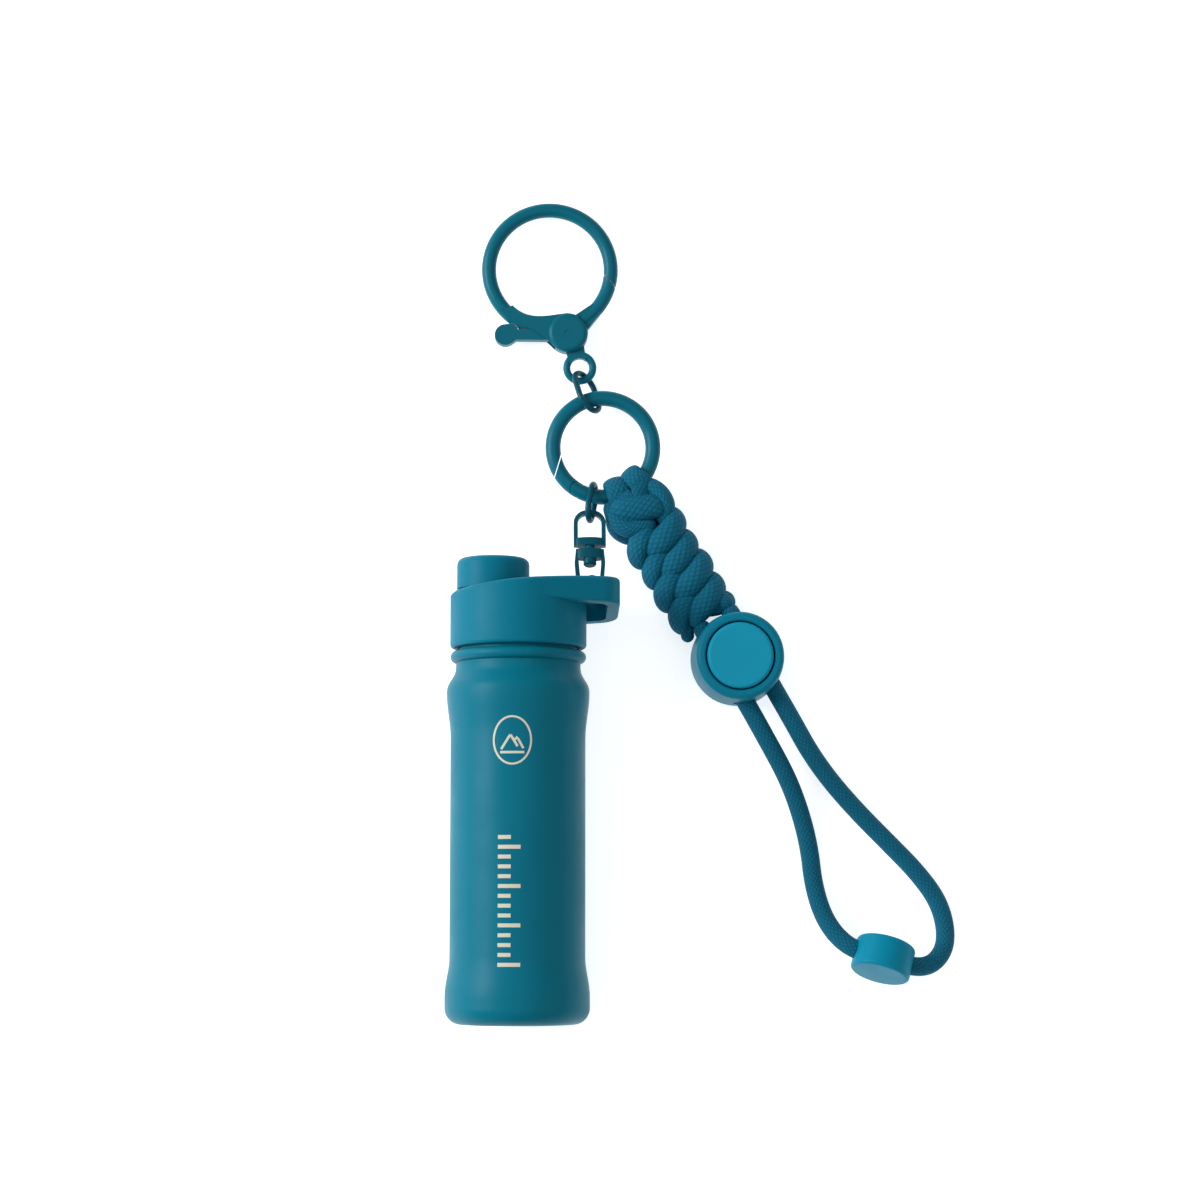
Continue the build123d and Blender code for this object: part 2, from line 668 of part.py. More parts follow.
with BuildPart() as clasp_body:
    with BuildSketch(clasp_base):
        add(clasp_boss_disc.sketch)
    extrude(amount=clasp_thickness / 2, both=True)
    fillet(clasp_body.edges().filter_by(GeomType.CIRCLE), radius=1.1)
    with BuildSketch(clasp_base):
        add(clasp_plate.sketch)
    extrude(amount=clasp_thickness / 2 - 0.7, both=True)
    with BuildSketch(clasp_base):
        add(eyelet_root.sketch)
    extrude(amount=eyelet_thickness / 2, both=True)
    with Locations(eyelet_middle):
        Torus(eyelet_wire, (eyelet_outer - eyelet_hole) / 2)
    with BuildSketch(clasp_base):
        with Locations(eyelet_at):
            Circle(eyelet_hole)
    extrude(amount=clasp_wire, both=True, mode=Mode.SUBTRACT)
    with Locations(eyelet_middle):
        Torus(eyelet_wire, (eyelet_outer - eyelet_hole) / 2)
    with Locations(clasp_middle):
        Torus(clasp_radius, clasp_wire / 2)
    with BuildSketch(clasp_base.offset(-clasp_wire)):
        add(clasp_free_mask(nose_gap))
        add(clasp_plate.sketch, mode=Mode.SUBTRACT)
        add(clasp_boss_disc.sketch, mode=Mode.SUBTRACT)
    extrude(amount=2 * clasp_wire, mode=Mode.SUBTRACT)
    for step in range(5):
        with BuildSketch(clasp_base):
            add(lever_room.sketch.rotate(Axis(rivet_point, (0, 0, 1)), lever_swing * step / 4))
        extrude(amount=lever_thickness / 2 + 0.15, both=True, mode=Mode.SUBTRACT)
    with BuildSketch(clasp_base):
        with Locations(rivet_point):
            Circle(clasp_rivet_radius)
    extrude(amount=clasp_thickness, both=True, mode=Mode.SUBTRACT)
save(clasp_body, "clasp_body", TEAL)

with BuildPart() as clasp_rivet:
    with BuildSketch(clasp_base):
        with Locations(rivet_point):
            Circle(clasp_rivet_radius)
    extrude(amount=clasp_thickness / 2 - 0.1, both=True)
save(clasp_rivet, "clasp_rivet", STEEL)

# ---------------------------------------------------------------- plaited lanyard
lanyard_run = Vector(*lanyard_end) - Vector(*lanyard_start)
lanyard_heading = degrees(atan2(lanyard_run.Y, lanyard_run.X))
lanyard_plane = Plane(origin=(*lanyard_start, TABLE_Z + lanyard_lift + lanyard_thickness / 2),
                      x_dir=(0, 0, 1), z_dir=unit(lanyard_heading))
grip_axis = Axis(on_ring(sleeve_angle), unit(sleeve_angle + 90))
swing_clearance = ring_wire / 2 + RUNNING_GAP
with BuildPart() as channel:
    with Locations(ring_middle):
        Torus(ring_radius, swing_clearance)
with BuildPart() as lanyard_weave:
    with BuildSketch(lanyard_plane):
        RectangleRounded(lanyard_thickness, lanyard_width, lanyard_thickness * 0.45)
    extrude(amount=lanyard_run.length)
    fillet(lanyard_weave.faces().sort_by(Axis(lanyard_plane.origin, lanyard_plane.z_dir))[0].edges(),
           radius=2.0)
    with Locations(ring_middle):
        Torus(ring_radius, sleeve_radius)
    with BuildSketch(ring_base.offset(-ring_outer)):
        with BuildLine():
            reach = 4 * ring_outer
            edge_a, edge_b = (unit(sleeve_angle + way * sleeve_half_angle) * reach for way in (-1, 1))
            Polyline((0, 0), (edge_a.X, edge_a.Y), (edge_b.X, edge_b.Y), close=True)
        make_face()
    extrude(amount=2 * ring_outer, mode=Mode.INTERSECT)
    for tilt in (-lanyard_swing, 0, lanyard_swing):
        add(channel.part.rotate(grip_axis, tilt), mode=Mode.SUBTRACT)
save(lanyard_weave, "lanyard_weave", CORD)

# ---------------------------------------------------------------- cord lock
lock_base = Plane(origin=(lock_x, lock_y, TABLE_Z))
lock_way, lock_side = unit(lock_heading), unit(lock_heading + 90)
lock_cord_z = TABLE_Z + lock_cord_height
slot_low = lock_cord_height - lock_hole / 2
button_low = slot_low - button_floor
lock_holes = Plane(origin=(lock_x, lock_y, lock_cord_z), x_dir=lock_side, z_dir=lock_way)

with BuildPart() as lock_body:
    with BuildSketch(Plane(origin=lock_base.origin, x_dir=(1, 0, 0), z_dir=(0, -1, 0))):
        with BuildLine():
            top, inner = lock_body_height, button_radius + RUNNING_GAP
            Polyline((0, 0), (lock_radius - 1.6, 0))
            ThreePointArc((lock_radius - 1.6, 0), (lock_radius - 0.4, 0.6), (lock_radius, 2.0))
            Spline((lock_radius, 2.0), (lock_face_radius + 0.2, top - 1.2), tangents=[(0, 1), (-0.12, 1)])
            RadiusArc((lock_face_radius + 0.2, top - 1.2), (lock_face_radius - 1.0, top), -1.2)
            Polyline((lock_face_radius - 1.0, top), (inner + 0.3, top), (inner, top - 0.3),
                     (inner, lock_floor), (0, lock_floor), (0, 0))
        make_face()
    revolve(axis=Axis(lock_base.origin, (0, 0, 1)))
    with BuildSketch(lock_holes.offset(-2 * lock_radius)):
        with Locations((lock_cord_offset, 0), (-lock_cord_offset, 0)):
            Circle(lock_hole / 2)
    extrude(amount=4 * lock_radius, mode=Mode.SUBTRACT)
save(lock_body, "lock_body", LOCK)

with BuildPart() as lock_button:
    with BuildSketch(Plane(origin=lock_base.origin, x_dir=(1, 0, 0), z_dir=(0, -1, 0))):
        with BuildLine():
            Polyline((0, button_low), (button_radius - 0.3, button_low), (button_radius, button_low + 0.3),
                     (button_radius, lock_height - 0.9))
            ThreePointArc((button_radius, lock_height - 0.9), (button_radius - 0.25, lock_height - 0.35),
                          (button_radius - 0.9, lock_height - 0.12))
            Polyline((button_radius - 0.9, lock_height - 0.12), (0, lock_height), (0, button_low))
        make_face()
    revolve(axis=Axis(lock_base.origin, (0, 0, 1)))
    with BuildSketch(lock_holes.offset(-2 * lock_radius)):
        with Locations((lock_cord_offset, button_travel / 2), (-lock_cord_offset, button_travel / 2)):
            SlotOverall(lock_hole + button_travel, lock_hole, rotation=90)
    extrude(amount=4 * lock_radius, mode=Mode.SUBTRACT)
save(lock_button, "lock_button", LOCK)

# ---------------------------------------------------------------- springs


def coil(name, plane, radius, wire, height, turns, top_radius=None):
    """A coil spring standing on a plane, conical if its top is narrower."""
    cone = degrees(atan2((top_radius or radius) - radius, height))
    path = Helix(height / turns, height, radius, cone_angle=cone, mode=Mode.PRIVATE)
    path = plane.from_local_coords(path)
    with BuildPart() as spring:
        with BuildSketch(Plane(origin=path.position_at(0), z_dir=path.tangent_at(0))):
            Circle(wire / 2)
        sweep(path=path, is_frenet=True)
    save(spring, name, STEEL)


lock_spring_wire = 0.5
coil("lock_spring", lock_base.offset(lock_floor + lock_spring_wire / 2 + 0.05), 5.6, lock_spring_wire,
     button_low - lock_floor - lock_spring_wire - 0.1, 2.5, 3.4)

coil("gate_spring", gate_bore.offset(0.2), gate_spring_bore * 0.67, 0.22, gate_spring_length - 0.3, 5)

coil("clasp_spring", Plane(origin=(rivet_x, rivet_y, clasp_middle.Z - lever_thickness / 2 + 0.25)), 1.55,
     0.35, 0.7, 1.5)

# ---------------------------------------------------------------- cord joiner and the wrist loop's cord
joiner_way = unit(joiner_heading)
joiner_level = unit(joiner_heading - 90)        # where its lower face would look if it stood square
tip = radians(joiner_tip)
joiner_face = joiner_level * cos(tip) + Vector(0, 0, 1) * sin(tip)
joiner_middle = Vector(joiner_x, joiner_y, TABLE_Z + joiner_height)
joiner_plane = Plane(origin=joiner_middle, x_dir=joiner_way, z_dir=joiner_face)
with BuildPart() as joiner_body:
    with BuildSketch(joiner_plane.offset(-joiner_length / 2)):
        Circle(joiner_radius)
    extrude(amount=joiner_length)
    fillet(joiner_body.edges(), radius=0.7)
    with BuildSketch(joiner_plane.offset(joiner_length / 2)):
        Circle(joiner_cap_radius)
    extrude(amount=-joiner_cap_depth, mode=Mode.SUBTRACT)
    with BuildSketch(Plane(origin=joiner_middle - joiner_way * joiner_radius * 1.5, z_dir=joiner_way)):
        Circle(cord_diameter / 2)
    extrude(amount=3 * joiner_radius, mode=Mode.SUBTRACT)
save(joiner_body, "joiner_body", LOCK)

with BuildPart() as joiner_cap:
    with BuildSketch(joiner_plane.offset(joiner_length / 2)):
        Circle(joiner_cap_radius)
    extrude(amount=-joiner_cap_depth)
save(joiner_cap, "joiner_cap", LOCK)


def strand(along, side, height):
    """A point of the cord near the lock: along its heading, to its side, and over the table."""
    at = Vector(lock_x, lock_y) + lock_way * along + lock_side * side
    return Vector(at.X, at.Y, TABLE_Z + height)


def laid(x, y, height):
    return Vector(x, y, TABLE_Z + height)


in_lock = lock_cord_height
in_joiner = joiner_height
joiner_half = joiner_way * (joiner_radius - 0.4)
# from the plait through the lock, round the wrist loop by the joiner, and back to the plait
loop_route = [
    strand(-11.3, -lock_cord_offset - 0.2, in_lock - 0.15), strand(-2, -lock_cord_offset, in_lock),
    strand(8, -lock_cord_offset + 0.05, in_lock), strand(18, -lock_cord_offset - 0.1, in_lock - 0.1),
    laid(57.9, 52.0, 5.0), laid(60.9, 44.4, 3.0), laid(62.8, 36.8, 2.1), laid(63.5, 29.6, 2.2),
    laid(65.2, 23.0, 3.6), laid(68.0, 18.2, 5.6),
    joiner_middle - joiner_half, joiner_middle + joiner_half,
    laid(88.2, 11.9, 5.6), laid(91.5, 15.4, 3.8), laid(91.9, 20.6, 2.5), laid(90.2, 26.2, 2.05),
    laid(85.9, 32.0, 2.0), laid(80.0, 38.0, 2.1), laid(73.5, 44.5, 2.4), laid(67.4, 51.2, 3.6),
    laid(62.6, 57.6, 5.4),
    strand(18, lock_cord_offset - 0.1, in_lock - 0.1), strand(8, lock_cord_offset - 0.05, in_lock),
    strand(-2, lock_cord_offset, in_lock), strand(-11.3, lock_cord_offset + 0.2, in_lock - 0.15),
]


def corner_radii(route):
    """At each corner, the largest arc that leaves its neighbours room: 0.45 of the shorter run."""
    radii = []
    for a, b, c in zip(route, route[1:], route[2:]):
        turn = (b - a).get_angle(c - b)
        radii.append(0.45 * min((b - a).length, (c - b).length) / tan(radians(turn / 2)))
    return radii


loop_radii = corner_radii(loop_route)
with BuildPart() as loop_cord:
    with BuildLine() as loop_path:
        FilletPolyline(*loop_route, radius=loop_radii)
    with BuildSketch(Plane(origin=loop_route[0], z_dir=loop_route[1] - loop_route[0])):
        Circle(cord_diameter / 2)
    sweep()
save(loop_cord, "loop_cord", CORD)

section = pi * cord_diameter**2 / 4
cord_length = sum(edge.length for edge in loop_path.edges())
print("cord length", round(cord_length, 1), "volume / (section x length)",
      round(loop_cord.part.volume / (section * cord_length), 4))
print("runs", [round((b - a).length, 1) for a, b in zip(loop_route, loop_route[1:])])
print("radii", [round(r, 1) for r in loop_radii])
print("lowest point over the table", round(loop_cord.part.bounding_box().min.Z - TABLE_Z, 2))
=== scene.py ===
# %% [markdown]
# # A mini flask key charm on its wrist cord
# The charm is a finger-sized steel flask with a screw lid, a swivel, a spring-gate ring, a snap clasp and a
# wrist loop of paracord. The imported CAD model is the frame: every hard piece is already in it, in metres,
# at its place. This script gives those pieces their real finishes, and makes what CAD keeps plain: the
# plait, the braided cord and the print.

# %% Load the frame
from math import cos, pi, radians, sin

import bpy
import numpy as np
from mathutils import Matrix, Vector
from mathutils.bvhtree import BVHTree


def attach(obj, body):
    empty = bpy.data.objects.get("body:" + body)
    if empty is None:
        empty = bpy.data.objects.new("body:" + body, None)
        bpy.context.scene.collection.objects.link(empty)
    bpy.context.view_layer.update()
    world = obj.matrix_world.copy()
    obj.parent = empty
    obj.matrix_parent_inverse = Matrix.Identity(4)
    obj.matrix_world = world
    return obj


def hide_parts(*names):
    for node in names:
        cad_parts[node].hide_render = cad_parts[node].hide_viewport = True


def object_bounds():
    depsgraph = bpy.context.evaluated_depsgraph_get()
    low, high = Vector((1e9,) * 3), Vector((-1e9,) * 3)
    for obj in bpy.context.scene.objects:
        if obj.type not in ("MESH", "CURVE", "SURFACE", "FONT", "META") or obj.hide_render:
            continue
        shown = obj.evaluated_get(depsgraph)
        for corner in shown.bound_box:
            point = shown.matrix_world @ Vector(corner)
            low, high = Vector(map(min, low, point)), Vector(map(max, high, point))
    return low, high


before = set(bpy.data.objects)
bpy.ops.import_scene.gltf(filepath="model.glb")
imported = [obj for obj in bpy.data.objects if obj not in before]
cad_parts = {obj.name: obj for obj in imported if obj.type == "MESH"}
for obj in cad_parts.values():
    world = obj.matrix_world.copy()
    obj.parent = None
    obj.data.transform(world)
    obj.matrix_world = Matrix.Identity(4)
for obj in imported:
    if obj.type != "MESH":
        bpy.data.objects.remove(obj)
cad_box = [list(corner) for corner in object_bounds()]
MM = 0.001
table_z = cad_box[0][2]
print("the charm measures", [round((high - low) / MM, 1) for low, high in zip(*cad_box)], "mm")

# %% [markdown]
# ## The camera
# A small product like this is usually shot from straight above with a long lens, so that it is not
# distorted. The camera stands a little over 0.6 m above the table, leans a few degrees, and looks along -Z
# with +Y up.

# %% Camera
camera_place = Vector((-3.9, 19.9, 602.8)) * MM
camera_aim = Vector((17.8, 90.8, -15.17)) * MM
camera = bpy.data.objects.new("camera", bpy.data.cameras.new("camera"))
camera.data.lens = 85.9
camera.data.sensor_width = 36.0
camera.data.clip_start = 0.01
# looking almost straight down, "up" would be a matter of chance, so the camera's own axes are set one by
# one
look = (camera_aim - camera_place).normalized()
look_right = look.cross(Vector((0, 1, 0))).normalized()
look_up = look_right.cross(look)
camera.rotation_euler = Matrix((look_right, look_up, -look)).transposed().to_euler()
camera.location = camera_place
bpy.context.scene.collection.objects.link(camera)
bpy.context.scene.camera = camera
print("camera", round((camera_aim - camera_place).length, 3), "m from what it looks at")

# %% [markdown]
# ## Two small helpers
# Finishes are chosen as the hex colours that a paint card gives, which are sRGB, while shaders count in
# linear light, so one function turns one into the other. A second adds a node and fills its sockets,
# because a material is mostly that, over and over.

# %% Helpers for colours and nodes


def linear(hex_colour):
    """An sRGB colour such as '#0B6C86' as the linear RGBA that shaders use."""
    parts = [int(hex_colour[i:i + 2], 16) / 255 for i in (1, 3, 5)]
    return tuple(p / 12.92 if p <= 0.04045 else ((p + 0.055) / 1.055) ** 2.4 for p in parts) + (1.0,)


def add_node(tree, kind, sockets=None, **settings):
    """Adds a node. A socket's value is a number or colour to set, or another node's output to link."""
    node = tree.nodes.new(kind)
    for name, value in settings.items():
        setattr(node, name, value)
    for key, value in (sockets or {}).items():
        if isinstance(value, bpy.types.NodeSocket):
            tree.links.new(value, node.inputs[key])
        else:
            node.inputs[key].default_value = value
    return node


def new_material(name):
    """A node material and its main shader."""
    material = bpy.data.materials.new(name)
    material.use_nodes = True
    shader = next(n for n in material.node_tree.nodes if n.type == "BSDF_PRINCIPLED")
    return material, material.node_tree, shader


print("teal powder coat in linear light:", [round(c, 3) for c in linear("#0A6A84")[:3]])

# %% [markdown]
# ## Coated metal and moulded plastic
# Powder coat is polyester dust baked onto steel. It flows into a satin skin that is never quite flat: it
# has a fine orange peel about a third of a millimetre across. Cast zinc fittings get a thinner, glossier
# lacquer. Moulded plastic takes the spark-eroded grain of its mould. All three are one colour, a soft bump
# at the size of their grain, and a roughness that drifts a little, so one function makes them from those
# facts.

# %% Coated and moulded finishes


def grained(name, colour, shade, roughness, grain_mm, depth_mm, ior=1.5, coat=0.0):
    """A solid-coloured skin with a grain of that size and depth, in Object coordinates."""
    material, tree, shader = new_material(name)
    place = add_node(tree, "ShaderNodeTexCoord").outputs["Object"]
    grain = add_node(tree, "ShaderNodeTexNoise", {
        "Vector": place, "Scale": 1 / (grain_mm * MM), "Detail": 3.0, "Roughness": 0.55})
    cloud = add_node(tree, "ShaderNodeTexNoise", {"Vector": place, "Scale": 1 / (9 * MM), "Detail": 2.0})
    tone = add_node(tree, "ShaderNodeMix", {"A": linear(colour), "B": linear(shade)}, data_type="RGBA")
    mottle = add_node(tree, "ShaderNodeMath", {0: grain.outputs["Fac"], 1: cloud.outputs["Fac"]},
                      operation="MULTIPLY")
    tree.links.new(mottle.outputs[0], tone.inputs["Factor"])
    tree.links.new(tone.outputs["Result"], shader.inputs["Base Color"])
    gloss = add_node(tree, "ShaderNodeMapRange", {
        "Value": cloud.outputs["Fac"], "From Min": 0.3, "From Max": 0.7,
        "To Min": roughness - 0.06, "To Max": roughness + 0.06})
    tree.links.new(gloss.outputs["Result"], shader.inputs["Roughness"])
    bump = add_node(tree, "ShaderNodeBump", {"Height": grain.outputs["Fac"], "Strength": 1.0,
                                             "Distance": depth_mm * MM})
    tree.links.new(bump.outputs["Normal"], shader.inputs["Normal"])
    shader.inputs["IOR"].default_value = ior
    # a studio sheet all round would grey the colour, so its reflection is kept low
    shader.inputs["Specular IOR Level"].default_value = 0.10
    shader.inputs["Coat Weight"].default_value = coat
    shader.inputs["Coat Roughness"].default_value = 0.3
    return material


# polyester powder coat, baked: satin, with an orange peel that breaks up its highlights
powder_coat = grained("polyester_powder_coat", "#00738A", "#00667C", 0.40, 0.35, 0.012, ior=1.52)
# moulded polypropylene lid: a little softer and duller than the coat
lid_plastic = grained("moulded_polypropylene_lid", "#007690", "#006A82", 0.46, 0.18, 0.008, ior=1.49)
# sprayed lacquer over cast zinc and steel wire: smoother and glossier, with a clear coat
lacquer = grained("lacquered_zinc", "#006A7F", "#005A6E", 0.36, 0.25, 0.006, ior=1.5, coat=0.1)
# the swivel and the oval links are lacquered steel wire, given a darker copy of the lacquer: that darkness is
# painted shade
painted_shade_lacquer = grained("lacquered_steel_wire_painted_shade", "#005466", "#004252", 0.30, 0.25, 0.006, ior=1.5, coat=0.15)
# moulded ABS: brighter, with a fine mould grain
lock_plastic = grained("moulded_abs_lock", "#017E9A", "#01728C", 0.42, 0.2, 0.008, ior=1.54)
button_plastic = grained("moulded_abs_button", "#149DBE", "#0F92B2", 0.42, 0.2, 0.008, ior=1.54)
joiner_plastic = grained("moulded_abs_joiner", "#018AAA", "#017E9C", 0.40, 0.2, 0.008, ior=1.54)
# food-grade silicone gaskets: soft, matt and slightly see-through
silicone = grained("silicone_gasket", "#C9CBC6", "#BCBEB9", 0.55, 0.3, 0.004, ior=1.41)
silicone_shader = silicone.node_tree.nodes["Principled BSDF"]
silicone_shader.inputs["Subsurface Weight"].default_value = 0.2
silicone_shader.inputs["Subsurface Scale"].default_value = 0.5 * MM
# pad-printing ink: opaque cream, dead matt
ink = grained("pad_print_ink", "#DED9C6", "#D3CDB8", 0.62, 0.12, 0.004, ior=1.48)
print("finishes so far:", len(bpy.data.materials))

# %% [markdown]
# Spring steel is drawn through a die, so its wire is bright with fine lines along it. At this size they
# only blur the highlight, so a mid roughness with a little noise is enough.

# %% Spring steel
spring_steel, steel_tree, steel_shader = new_material("drawn_spring_steel")
steel_shader.inputs["Base Color"].default_value = linear("#B9BBBD")
steel_shader.inputs["Metallic"].default_value = 1.0
steel_lines = add_node(steel_tree, "ShaderNodeTexNoise", {
    "Vector": add_node(steel_tree, "ShaderNodeTexCoord").outputs["Object"], "Scale": 1 / (0.15 * MM)})
steel_gloss = add_node(steel_tree, "ShaderNodeMapRange", {
    "Value": steel_lines.outputs["Fac"], "To Min": 0.22, "To Max": 0.42})
steel_tree.links.new(steel_gloss.outputs["Result"], steel_shader.inputs["Roughness"])
print("spring steel is the only bare metal")

# %% [markdown]
# ## The cord's woven sheath
# Paracord is a bundle of loose yarns in a braided nylon sheath. In the sheath two sets of yarns spiral
# round in opposite ways and pass over and under each other. The pattern needs to follow the cord, so it
# reads the piece's own UV map: U goes once round the cord and V counts the same length along it. Two
# sloping rulers, U + V and U - V, number the yarns of each set, and a checkerboard of the two says which
# one is on top.

# %% Paracord


def braid(name, colour, shade, yarns):
    """A braided nylon sheath with that many yarns of each set round the cord."""
    material, tree, shader = new_material(name)
    place = add_node(tree, "ShaderNodeUVMap", uv_map="UVMap").outputs["UV"]
    axes = add_node(tree, "ShaderNodeSeparateXYZ", {"Vector": place})

    def step(operation, a, b=0.0):
        return add_node(tree, "ShaderNodeMath", {0: a, 1: b}, operation=operation).outputs[0]

    across = step("MULTIPLY", axes.outputs["X"], float(yarns))
    # the yarns lie at 36 degrees to the cord, whose tangent is about 0.72
    along = step("MULTIPLY", axes.outputs["Y"], float(yarns) * 0.72)
    left, right = step("ADD", across, along), step("SUBTRACT", across, along)
    numbers = step("ADD", step("FLOOR", left), step("FLOOR", right))
    on_top = step("GREATER_THAN", step("MODULO", step("ADD", numbers, 1000.0), 2.0), 0.5)
    yarn_left = step("SINE", step("MULTIPLY", step("FRACT", left), pi))
    yarn_right = step("SINE", step("MULTIPLY", step("FRACT", right), pi))
    # each yarn is rounded across, and dives at the ends of where it shows
    height_left = step("MULTIPLY", yarn_left, step("POWER", yarn_right, 0.45))
    height_right = step("MULTIPLY", yarn_right, step("POWER", yarn_left, 0.45))
    height = add_node(tree, "ShaderNodeMix", {"Factor": on_top, "A": height_left, "B": height_right},
                      data_type="FLOAT").outputs["Result"]
    object_place = add_node(tree, "ShaderNodeTexCoord").outputs["Object"]
    fuzz = add_node(tree, "ShaderNodeTexNoise", {
        "Vector": object_place, "Scale": 1 / (0.12 * MM), "Detail": 2.0})
    fade = add_node(tree, "ShaderNodeTexNoise", {
        "Vector": object_place, "Scale": 1 / (1.6 * MM), "Detail": 2.0})
    relief = step("ADD", height, step("MULTIPLY", fuzz.outputs["Fac"], 0.35))
    bump = add_node(tree, "ShaderNodeBump", {"Height": relief, "Strength": 1.0, "Distance": 0.13 * MM})
    tree.links.new(bump.outputs["Normal"], shader.inputs["Normal"])
    # the colour runs from the shade tone down between the yarns, where they dive, to the full colour on their
    # crowns: painted shade, with a random fade in tone mixed in
    lit = step("MULTIPLY", height, step("ADD", step("MULTIPLY", fade.outputs["Fac"], 0.7), 0.55))
    tone = add_node(tree, "ShaderNodeMix", {"Factor": lit, "A": linear(shade), "B": linear(colour)},
                    data_type="RGBA")
    tree.links.new(tone.outputs["Result"], shader.inputs["Base Color"])
    shader.inputs["Roughness"].default_value = 0.78
    shader.inputs["IOR"].default_value = 1.53
    shader.inputs["Specular IOR Level"].default_value = 0.2
    shader.inputs["Sheen Weight"].default_value = 0.08
    shader.inputs["Sheen Roughness"].default_value = 0.4
    shader.inputs["Sheen Tint"].default_value = linear("#2F8CA8")
    return material


# 14 carriers a set on a 4 mm cord puts the yarns about 0.9 mm apart, as on real 28-carrier paracord
cord_diameter = 4.0 * MM
carriers = 14
paracord = braid("nylon_paracord_sheath", "#006D8B", "#005C78", carriers)
print("one yarn is", round(pi * cord_diameter / MM / carriers, 2), "mm wide")

# %% [markdown]
# ## Cords as tubes
# A braided tube needs clean UVs and a cross-section that can be squashed, because a cord that is pulled
# tight round something goes flat. So the tube is made in mesh code: a ring of points at each step along a
# line, turned to an 'up' direction that says which way its flat side faces. Round ends are rings that
# shrink.

# %% The tube maker


def smooth_line(points, steps=10):
    """A Catmull-Rom curve through the points."""
    p = np.asarray(points, float)
    p = np.vstack([2 * p[0] - p[1], p, 2 * p[-1] - p[-2]])
    t = np.linspace(0, 1, steps, endpoint=False)[:, None]
    runs = [0.5 * (2 * b + (c - a) * t + (2 * a - 5 * b + 4 * c - d) * t ** 2
                   + (3 * b - a - 3 * c + d) * t ** 3)
            for a, b, c, d in zip(p, p[1:], p[2:], p[3:])]
    return np.vstack(runs + [p[-2:-1]])


def tube(name, line, half_width, half_height, ups, material, sides=28):
    """A closed tube along a line, with a UV map that follows it. The sizes may differ from point to point."""
    line = np.asarray(line, float)
    count = len(line)
    ahead = np.gradient(line, axis=0)
    ahead /= np.linalg.norm(ahead, axis=1)[:, None]
    side = np.cross(ahead, np.broadcast_to(np.asarray(ups, float), line.shape))
    side /= np.linalg.norm(side, axis=1)[:, None]
    up = np.cross(side, ahead)
    length = np.concatenate([[0], np.cumsum(np.linalg.norm(np.diff(line, axis=0), axis=1))])
    wide = np.broadcast_to(np.asarray(half_width, float), (count,))
    tall = np.broadcast_to(np.asarray(half_height, float), (count,))
    # the ends are rounded over one radius
    reach = np.minimum(length, length[-1] - length) / tall
    dome = np.sqrt(np.clip(1 - (1 - np.clip(reach, 0.02, 1)) ** 2, 0, 1))
    angles = np.linspace(0, 2 * pi, sides, endpoint=False)
    rings = (line[:, None] + side[:, None] * (wide * dome)[:, None, None] * np.cos(angles)[None, :, None]
             + up[:, None] * (tall * dome)[:, None, None] * np.sin(angles)[None, :, None])
    faces, uvs = [], []
    girth = pi * (wide.mean() + tall.mean())
    for i in range(count - 1):
        for j in range(sides):
            k = (j + 1) % sides
            faces.append((i * sides + j, i * sides + k, (i + 1) * sides + k, (i + 1) * sides + j))
            uvs += [(u / sides, length[n] / girth)
                    for u, n in ((j, i), (j + 1, i), (j + 1, i + 1), (j, i + 1))]
    for first, way in ((0, -1), ((count - 1) * sides, 1)):
        faces.append(tuple(first + j for j in range(sides))[::way])
        uvs += [(0.0, 0.0)] * sides
    mesh = bpy.data.meshes.new(name)
    mesh.from_pydata(rings.reshape(-1, 3).tolist(), [], faces)
    mesh.uv_layers.new(name="UVMap").data.foreach_set("uv", np.asarray(uvs).ravel())
    mesh.polygons.foreach_set("use_smooth", [True] * len(mesh.polygons))
    mesh.materials.append(material)
    piece = bpy.data.objects.new(name, mesh)
    bpy.context.scene.collection.objects.link(piece)
    return piece


print("a tube of 40 steps has", 40 * 28, "faces")

# %% [markdown]
# ## The wrist loop
# One 4 mm cord leaves the plait, goes through the lock, round through the joiner and back. Its line is a
# NURBS curve on the same route as the CAD tube, so it lies where MuJoCo thinks it does, but bends as
# smoothly as a cord. The sheath then follows points read back from that curve.

# %% The loop's route and its sheath
loop_route = [
    (38.482, 85.586, -8.42), (43.306, 77.632, -8.27), (48.349, 68.997, -8.27), (53.219, 60.262, -8.37),
    (57.9, 52.0, -10.17), (60.9, 44.4, -12.17), (62.8, 36.8, -13.07), (63.5, 29.6, -12.97),
    (65.2, 23.0, -11.57), (68.0, 18.2, -9.57), (72.045, 15.09, -8.12), (83.455, 11.71, -8.12),
    (88.2, 11.9, -9.57), (91.5, 15.4, -11.37), (91.9, 20.6, -12.67), (90.2, 26.2, -13.12),
    (85.9, 32.0, -13.17), (80.0, 38.0, -13.07), (73.5, 44.5, -12.77), (67.4, 51.2, -11.57),
    (62.6, 57.6, -9.77), (59.108, 63.662, -8.37), (54.151, 72.347, -8.27), (49.194, 81.032, -8.27),
    (44.718, 89.186, -8.42)]
route_curve = bpy.data.curves.new("loop_route", "CURVE")
route_curve.dimensions = "3D"
route = route_curve.splines.new("NURBS")
route.points.add(len(loop_route) - 1)
for point, place in zip(route.points, loop_route):
    point.co = (*(c * MM for c in place), 1.0)
route.order_u = 3
route.use_endpoint_u = True
route.resolution_u = 14
route_object = bpy.data.objects.new("loop_route", route_curve)
bpy.context.scene.collection.objects.link(route_object)
route_line = bpy.data.meshes.new_from_object(route_object)
loop_line = np.array([v.co for v in route_line.vertices])
bpy.data.objects.remove(route_object)

loop_cord = tube("wrist_loop", loop_line, cord_diameter / 2, cord_diameter / 2, (0, 0, 1), paracord)
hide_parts("loop_cord")
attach(loop_cord, "lanyard")
